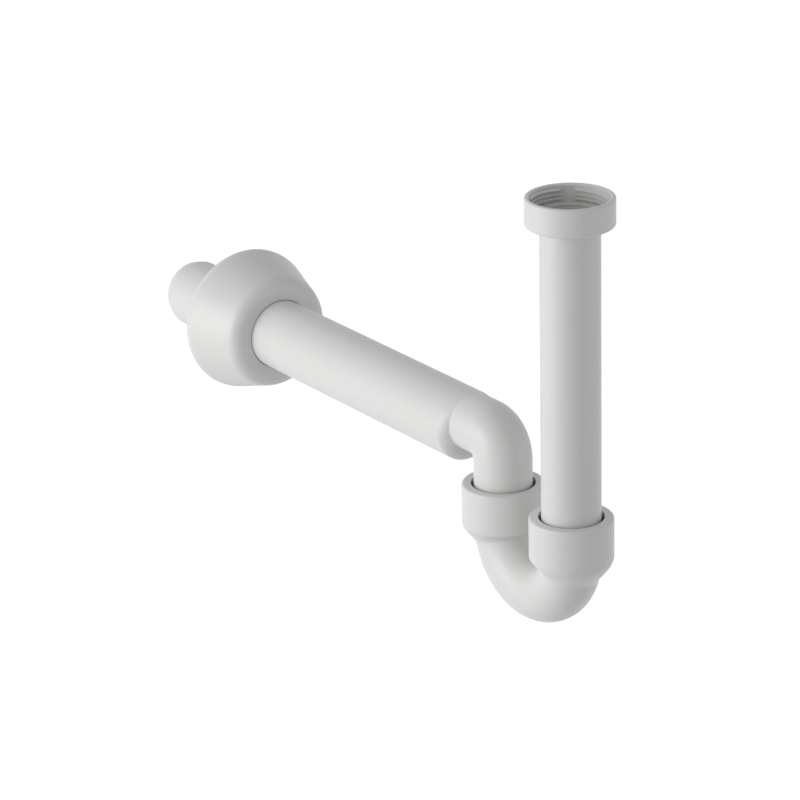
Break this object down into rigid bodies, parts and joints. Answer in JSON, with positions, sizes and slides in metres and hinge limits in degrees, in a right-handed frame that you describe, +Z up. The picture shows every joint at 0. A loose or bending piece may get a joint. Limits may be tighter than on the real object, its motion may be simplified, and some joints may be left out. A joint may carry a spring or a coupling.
{
  "type": "bidet trap",
  "caption": "Tubular P-trap for a bidet: union nut and straight inlet tube, U-bend held by round clamp nuts, tight outlet elbow into a wider pipe with a deep conical wall rosette",
  "frame": {"origin": "on the waste pipe's axis, in the plane of the wall that the rosette lies against", "axes": "+Y along the waste pipe into the wall, +Z up along the two legs, +X to the right for someone facing the wall"},
  "size_m": [0.083, 0.3961, 0.2461],
  "materials": {
    "white_polypropylene": "satin",
    "black_rubber": "matte",
    "black_polyethylene": "matte",
    "pale_gasket": "matte"
  },
  "bodies": {
    "waste_arm": {"outlet_bend": "white_polypropylene"},
    "rosette": {"wall_rosette": "white_polypropylene"},
    "outlet_seal": {"outlet_seal_ring": "black_rubber"},
    "bend": {"u_bend": "white_polypropylene", "inlet_seal_ring": "black_rubber"},
    "outlet_slip": {"outlet_slip_ring": "black_polyethylene"},
    "outlet_clamp": {"outlet_clamp_nut": "white_polypropylene"},
    "inlet_slip": {"inlet_slip_ring": "black_polyethylene"},
    "inlet_clamp": {"inlet_clamp_nut": "white_polypropylene"},
    "inlet": {"inlet_tube": "white_polypropylene", "inlet_gasket": "pale_gasket"},
    "union": {"inlet_union_nut": "white_polypropylene"}
  },
  "joints": [
    {"name": "rosette_slide", "type": "slide", "parent": "waste_arm", "child": "rosette", "axis": [0, -1, 0], "range_m": [0, 0.17]},
    {"name": "outlet_height", "type": "slide", "parent": "waste_arm", "child": "outlet_seal", "axis": [0, 0, 1], "range_m": [-0.01, 0.0035]},
    {"name": "bend_swivel", "type": "hinge", "parent": "outlet_seal", "child": "bend", "pos_m": [0, -0.258, -0.035], "axis": [0, 0, 1], "range_deg": [-120, 120]},
    {"name": "inlet_height", "type": "slide", "parent": "bend", "child": "inlet", "axis": [0, 0, 1], "range_m": [-0.0035, 0.01]},
    {"name": "union_turn", "type": "hinge", "parent": "inlet", "child": "union", "pos_m": [0, -0.3184, 0.147], "axis": [0, 0, 1], "continuous": true},
    {"name": "inlet_clamp_rise", "type": "slide", "parent": "bend", "child": "inlet_slip", "axis": [0, 0, 1], "range_m": [0, 0.00693]},
    {"name": "inlet_clamp_turn", "type": "hinge", "parent": "inlet_slip", "child": "inlet_clamp", "pos_m": [0, -0.3184, -0.034], "axis": [0, 0, 1], "range_deg": [0, 1080]},
    {"name": "outlet_clamp_rise", "type": "slide", "parent": "bend", "child": "outlet_slip", "axis": [0, 0, 1], "range_m": [0, 0.00693]},
    {"name": "outlet_clamp_turn", "type": "hinge", "parent": "outlet_slip", "child": "outlet_clamp", "pos_m": [0, -0.258, -0.034], "axis": [0, 0, 1], "range_deg": [0, 1080]}
  ],
  "couplings": [
    {"joint": "inlet_clamp_rise", "follows": "inlet_clamp_turn", "m_per_rad": 0.00036749},
    {"joint": "outlet_clamp_rise", "follows": "outlet_clamp_turn", "m_per_rad": 0.00036749}
  ]
}
